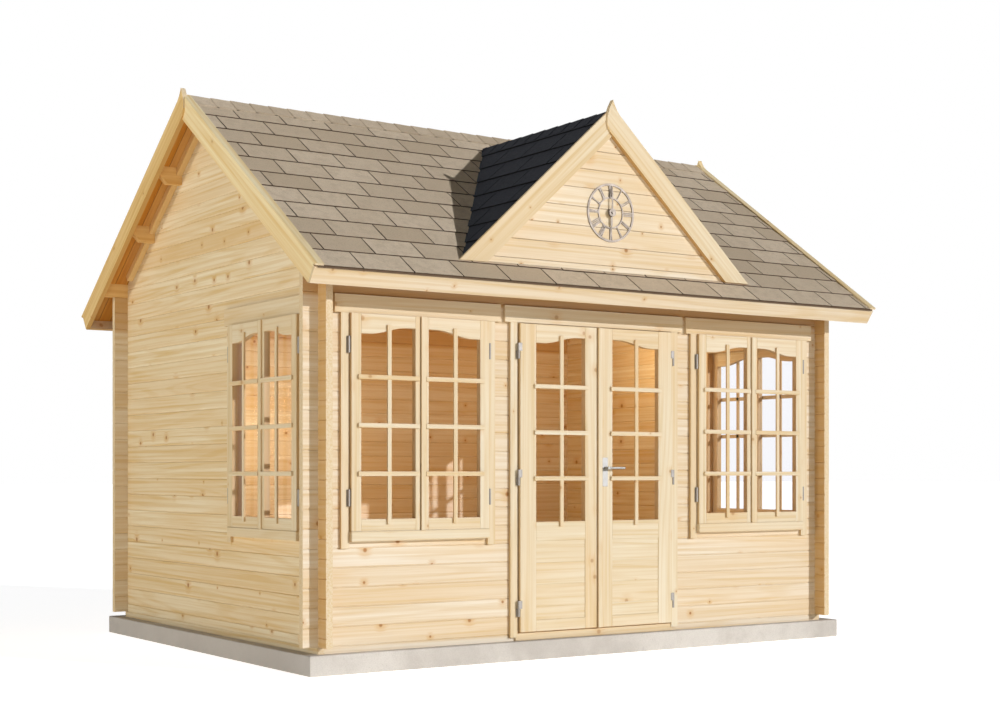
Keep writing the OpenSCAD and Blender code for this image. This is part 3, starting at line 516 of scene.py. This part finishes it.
# Clock: an open dial of brushed steel, two rings joined by the numerals. It is fixed to the cladding
# on a post, which carries the two hands.
def metal(name, colour, share, gloss, scratch):
    """Plated or brushed steel with fine lines and smears; scratch is the depth of its lines in metres."""
    made, tree, shader = new_material(name)
    spot = add(tree, "TexCoord").outputs["Object"]
    lines = noise(tree, add(tree, "Mapping", {"Vector": spot, "Scale": (90, 90, 900)}).outputs[0], 1.0, 3, 0.6)
    smears = noise(tree, spot, 30, 4, 0.6)
    shader.inputs["Metallic"].default_value = share
    coat(tree, shader, mix(tree, calc(tree, "MULTIPLY", smears, 0.3), srgb(*colour), srgb(132, 124, 116)),
         spread(tree, smears, 0.3, 0.7, gloss, gloss + 0.14), lines, scratch)
    return made


dress(metal("clock_steel", (128, 118, 108), 0.7, 0.46, 0.00004), "clock_dial", "hour_hand", "minute_hand")


# Windows: a lining in the wall, casings and a header nailed over the joint, a sill, and two sashes of
# stiles and rails with a swept head. A loose grille of bars lies on each sash.
def shaped(bm, outline, back, front, run):
    """A board sawn to an outline of (x, z) points, from its back face to its front face."""
    ring = [bm.verts.new((x, back, z)) for x, z in outline]
    face = bm.faces.new(ring)
    grown = bmesh.ops.extrude_face_region(bm, geom=[face])["geom"]
    far = [g for g in grown if isinstance(g, bmesh.types.BMVert)]
    bmesh.ops.translate(bm, vec=(0, front - back, 0), verts=far)
    faces = list({f for v in ring + far for f in v.link_faces})
    bmesh.ops.recalc_face_normals(bm, faces=faces)
    rims = list({e for f in faces for e in f.edges if abs(e.verts[0].co.y - e.verts[1].co.y) < 1e-6})
    bmesh.ops.bevel(bm, geom=rims, offset=0.002, segments=1, profile=0.5, affect="EDGES", material=-1)
    lay_grain(bm, run)


trim = pine("joinery_wood", pale=(224, 213, 189), amber=(208, 184, 140), knots=0.6)
sash_half, sash_low, sash_high, leaf_t = 0.479, 0.827, 2.1, 0.04
sash_light, sash_rail = (0.046, 0.414), 0.07
meet = -0.0107
casing_t, casing_w, casing_reach, head_top = 0.02, 0.055, 0.041, 2.21
lining_in, lining_out, lining_t, lining_low, lining_high = 0.466, 0.5, 0.034, 0.806, 2.121
lining_depth, sash_gap, window_head_gap = 0.054, 0.003, 0.0015
sill_h, sill_nose, window_skirt, header_nose = 0.06, 0.006, 0.1, 0.002
strip_w, strip_t = 0.032, 0.012
strip_x, strip_front = (meet, meet + strip_w), leaf_t + strip_t
window_x, side_window_y = 1.324, -0.839


def swept_head(bm, outer, inner, side):
    """Upper rail of a leaf between its stiles, sawn to a curve that rises towards the middle."""
    head_h, rise, steps, straight = 0.117, 0.044, 10, 0.15
    curve = []
    for i in range(steps + 1):
        share = min(1.0, max(0.0, (i / steps - straight) / (1 - 2 * straight)))
        lift = rise * (1 - math.cos(math.pi * share)) / 2
        curve.append((side * (outer + (inner - outer) * i / steps), sash_high - head_h + lift))
    shaped(bm, curve + [(side * inner, sash_high), (side * outer, sash_high)], 0.0, -leaf_t, 0)


def grille(bm, inner, outer, side, low, high, heights, lap):
    """Bars laid on a leaf: one upright in the middle of the pane, and three across it."""
    bar_w, bar_t, proud = 0.027, 0.013, 0.001
    middle = side * (inner + outer) / 2
    plank(bm, (middle - bar_w / 2, -leaf_t - bar_t, low), (middle + bar_w / 2, -leaf_t, high), 2)
    ends = sorted((side * (inner - lap), side * (outer + lap)))
    for z in heights:
        plank(bm, (ends[0], -leaf_t - bar_t - proud, z - bar_w / 2), (ends[1], -leaf_t, z + bar_w / 2), 0)


def build_casings(bm, half, low, high):
    """Upright boards on both sides of an opening, and the header that lies on them."""
    for side in (-1, 1):
        xs = sorted((side * half, side * (half + casing_w)))
        plank(bm, (xs[0], -casing_t, low), (xs[1], 0, high), 2)
    reach = half + casing_w + casing_reach
    plank(bm, (-reach, -casing_t - header_nose, high), (reach, 0, head_top), 0)


windows = {"front_left": Matrix.Translation((-window_x, wall_y, 0)),
           "front_right": Matrix.Translation((window_x, wall_y, 0)),
           "left": Matrix.Translation((-wall_x, side_window_y, 0)) @ Matrix.Rotation(-math.pi / 2, 4, "Z"),
           "right": Matrix.Translation((wall_x, side_window_y, 0)) @ Matrix.Rotation(math.pi / 2, 4, "Z")}
for name, place in windows.items():
    bm = new_joinery()
    half = sash_half + sash_gap
    build_casings(bm, half, sash_low - window_skirt, sash_high + window_head_gap)
    plank(bm, (-half, -leaf_t - sill_nose, sash_low - sill_h), (half, 0, sash_low), 0, ease=0.004)
    for side in (-1, 1):
        xs = sorted((side * lining_in, side * lining_out))
        plank(bm, (xs[0], 0, lining_low), (xs[1], lining_depth, lining_high), 2)
    for low in (lining_high - lining_t, lining_low):
        plank(bm, (-lining_in, 0, low), (lining_in, lining_depth, low + lining_t), 0)
    bmesh.ops.transform(bm, matrix=place, verts=bm.verts)
    put("window_boards_" + name, bm, trim, "house", ["window_frame_" + name])

    bm = new_joinery()
    inner, outer = sash_light
    for side, near in ((-1, meet - sash_gap), (1, meet)):
        for xs in (sorted((side * outer, side * sash_half)), sorted((near, side * inner))):
            plank(bm, (xs[0], -leaf_t, sash_low), (xs[1], 0, sash_high), 2)
        xs = sorted((side * inner, side * outer))
        plank(bm, (xs[0], -leaf_t, sash_low), (xs[1], 0, sash_low + sash_rail), 0)
        swept_head(bm, outer, inner, side)
        grille(bm, inner, outer, side, low=0.865, high=2.04, heights=(1.729, 1.446, 1.163), lap=0.024)
    plank(bm, (strip_x[0], -strip_front, sash_low), (strip_x[1], -leaf_t, sash_high), 2)
    bmesh.ops.transform(bm, matrix=place, verts=bm.verts)
    put("sash_boards_" + name, bm, trim, "house", ["sashes_" + name])


# Glass: clear float glass, bedded in the middle of each sash and door leaf, with a trace of dust. One
# pane fills a whole leaf, behind the loose bars.
glass, tree, shader = new_material("float_glass")
spot = add(tree, "TexCoord").outputs["Object"]
dust = noise(tree, spot, 14, 5, 0.6)
tree.links.new(spread(tree, dust, 0.3, 0.8, 0.02, 0.07), shader.inputs["Roughness"])
shader.inputs["Metallic"].default_value = 1.0
clear = add(tree, "BsdfTransparent", {"Color": srgb(253, 253, 254)})
sheen = add(tree, "LayerWeight", {"Blend": 0.12}).outputs["Fresnel"]
pane = add(tree, "MixShader", {0: calc(tree, "MULTIPLY", sheen, 0.07), 1: clear.outputs[0], 2: shader.outputs[0]})
tree.links.new(pane.outputs[0], tree.nodes["Material Output"].inputs["Surface"])
dress(glass, "window_glass", "left_door_glass", "right_door_glass")


# Doorway: a softwood lining with a stop for the leaves, casings and a header nailed over the joint as
# at the windows, and a threshold on the slab.
bm = new_joinery()
door_half, door_gap, door_head_gap, door_casing_low = 0.612, 0.007, 0.0055, 0.142
stop_x, jamb_x, frame_x, frame_ease = 0.599, 0.619, 0.633, 0.001
threshold_low, threshold_high, threshold_nose, wall_t = 0.12, 0.168, 0.014, 0.044
head_strip_h, head_strip_nose = 0.014, 0.001
build_casings(bm, door_half + door_gap, door_casing_low, sash_high + door_head_gap)
for side in (-1, 1):
    xs = sorted((side * stop_x, side * frame_x))
    plank(bm, (xs[0], door_gap, threshold_high), (xs[1], lining_depth, lining_high), 2)
    xs = sorted((side * jamb_x, side * frame_x))
    plank(bm, (xs[0], 0, threshold_high), (xs[1], door_gap, lining_high), 2, frame_ease)
plank(bm, (-stop_x, door_gap, lining_high - lining_t), (stop_x, lining_depth, lining_high), 0)
plank(bm, (-frame_x, -head_strip_nose, lining_high - head_strip_h), (frame_x, door_gap, lining_high), 0, frame_ease)
plank(bm, (-frame_x, -threshold_nose, threshold_low), (frame_x, wall_t, threshold_high), 0, ease=0.004)
bmesh.ops.translate(bm, vec=(0, wall_y, 0), verts=bm.verts)
put("door_frame_boards", bm, trim, "house", ["door_frame"])


# Door leaves: stiles and rails round a glazed light above and a panel of level boards below, with
# the same grille. The right leaf carries the cover strip over the meeting gap.
door_low, panel_low, panel_high, light_low = 0.175, 0.245, 0.741, 0.861
inner, outer = 0.11, 0.492
panel_board, panel_front, panel_back = 0.137, 0.003, 0.006
for side, near, body in ((-1, meet - door_gap, "left_door"), (1, meet, "right_door")):
    bm = new_joinery()
    for xs in (sorted((side * outer, side * door_half)), sorted((near, side * inner))):
        plank(bm, (xs[0], -leaf_t, door_low), (xs[1], 0, sash_high), 2)
    xs = sorted((side * inner, side * outer))
    plank(bm, (xs[0], -leaf_t, door_low), (xs[1], 0, panel_low), 0)
    plank(bm, (xs[0], -leaf_t, panel_high), (xs[1], 0, light_low), 0)
    swept_head(bm, outer, inner, side)
    top = panel_high
    while top > panel_low + hair:
        foot = max(top - panel_board, panel_low)
        plank(bm, (xs[0], -leaf_t + panel_front, foot), (xs[1], -panel_back, top), 0, ease=0.002)
        top = foot
    grille(bm, inner, outer, side, low=0.83, high=2.035, heights=(1.711, 1.422, 1.133), lap=0.018)
    if side > 0:
        plank(bm, (strip_x[0], -strip_front, door_low), (strip_x[1], -leaf_t, sash_high), 2)
    bmesh.ops.translate(bm, vec=(0, wall_y, 0), verts=bm.verts)
    put(body + "_boards", bm, trim, body, [body + "_leaf"])


# Hinges and lock: lift-off hinges of zinc-plated steel, screwed to frame and leaf, and a satin steel
# lock plate with a lever and a round cylinder.
dress(metal("zinc_steel", (152, 148, 143), 0.5, 0.46, 0.00005),
      "window_hinges", "door_frame_hinges", "left_leaf_hinges", "right_leaf_hinges")
dress(metal("lock_steel", (158, 157, 154), 0.75, 0.42, 0.00003), "lock_plate", "door_lever")


# Studio: a bright pale floor that keeps the shadow, a white surround, a low sun from the front right,
# softer fills from the front and the left, and two warm lamps in the room.
floor_paint, tree, shader = new_material("studio_floor")
shader.inputs["Base Color"].default_value = srgb(240, 238, 235)
shader.inputs["Roughness"].default_value = 0.9
seen = add(tree, "LightPath").outputs["Is Camera Ray"]
tree.links.new(mix(tree, seen, (1.0, 0.91, 0.74, 1), (1, 1, 1, 1)), shader.inputs["Emission Color"])
left = add(tree, "SeparateXYZ", {0: add(tree, "TexCoord").outputs["Object"]}).outputs[0]
glow = spread(tree, left, -3.0, -2.0, 0.75, 0.55)
tree.links.new(spread(tree, seen, 0.0, 1.0, glow, 0.85), shader.inputs["Emission Strength"])
floor_half, floor_z = 150, -0.001
bm = bmesh.new()
bmesh.ops.create_grid(bm, x_segments=1, y_segments=1, size=floor_half)
bmesh.ops.translate(bm, vec=(0, 0, floor_z), verts=bm.verts)
mesh = bpy.data.meshes.new("studio_floor")
bm.to_mesh(mesh)
bm.free()
mesh.materials.append(floor_paint)
floor = bpy.data.objects.new("studio_floor", mesh)
bpy.context.scene.collection.objects.link(floor)

world = bpy.data.worlds.new("studio")
bpy.context.scene.world = world
world.use_nodes = True
tree = world.node_tree
rays = add(tree, "LightPath").outputs
mirrored = calc(tree, "MAXIMUM", rays["Is Glossy Ray"], rays["Is Transmission Ray"])
seen = calc(tree, "MAXIMUM", rays["Is Camera Ray"], mirrored)
tree.links.new(mix(tree, seen, (0.6, 0.9, 1.5, 1), (1, 1, 1, 1)), tree.nodes["Background"].inputs["Color"])
tree.links.new(spread(tree, seen, 0.0, 1.0, 0.018, 1.0), tree.nodes["Background"].inputs["Strength"])


def sun(name, towards, strength, colour, width):
    """A lamp like the sun, which shines from the direction towards."""
    lamp = bpy.data.objects.new(name, bpy.data.lights.new(name, "SUN"))
    lamp.data.energy, lamp.data.color, lamp.data.angle = strength, colour, math.radians(width)
    lamp.rotation_euler = Vector(towards).to_track_quat("Z", "Y").to_euler()
    bpy.context.scene.collection.objects.link(lamp)


sun("key", (0.478, -0.828, 0.292), 2.55, (0.98, 1.0, 1.06), 0.6)
sun("front_fill", (-0.3, -0.95, 0.04), 0.45, (1.0, 0.95, 0.84), 30.0)
sun("left_fill", (-0.99, -0.01, 0.01), 1.7, (1.0, 0.95, 0.84), 14.0)
for name, place, power, colour in (("room_lamp", (1.35, 0.05, 2.15), 19, (1.0, 0.75, 0.43)),
                                   ("wall_lamp", (-1.1, 0.6, 1.55), 30, (1.0, 0.82, 0.52))):
    lamp = bpy.data.objects.new(name, bpy.data.lights.new(name, "POINT"))
    lamp.data.energy, lamp.data.color, lamp.data.shadow_soft_size = power, colour, 0.3
    lamp.location = place
    bpy.context.scene.collection.objects.link(lamp)

camera = bpy.data.objects.new("camera", bpy.data.cameras.new("camera"))
camera.location = (-6.363, -9.933, 1.169)
camera.rotation_euler = (math.radians(90), 0, -0.5971)
camera.data.sensor_fit, camera.data.sensor_width, camera.data.lens = "HORIZONTAL", 36, 58.813
camera.data.shift_x, camera.data.shift_y = -0.0132, 0.1177
bpy.context.scene.collection.objects.link(camera)
bpy.context.scene.camera = camera
bpy.context.scene.view_settings.view_transform = "Standard"
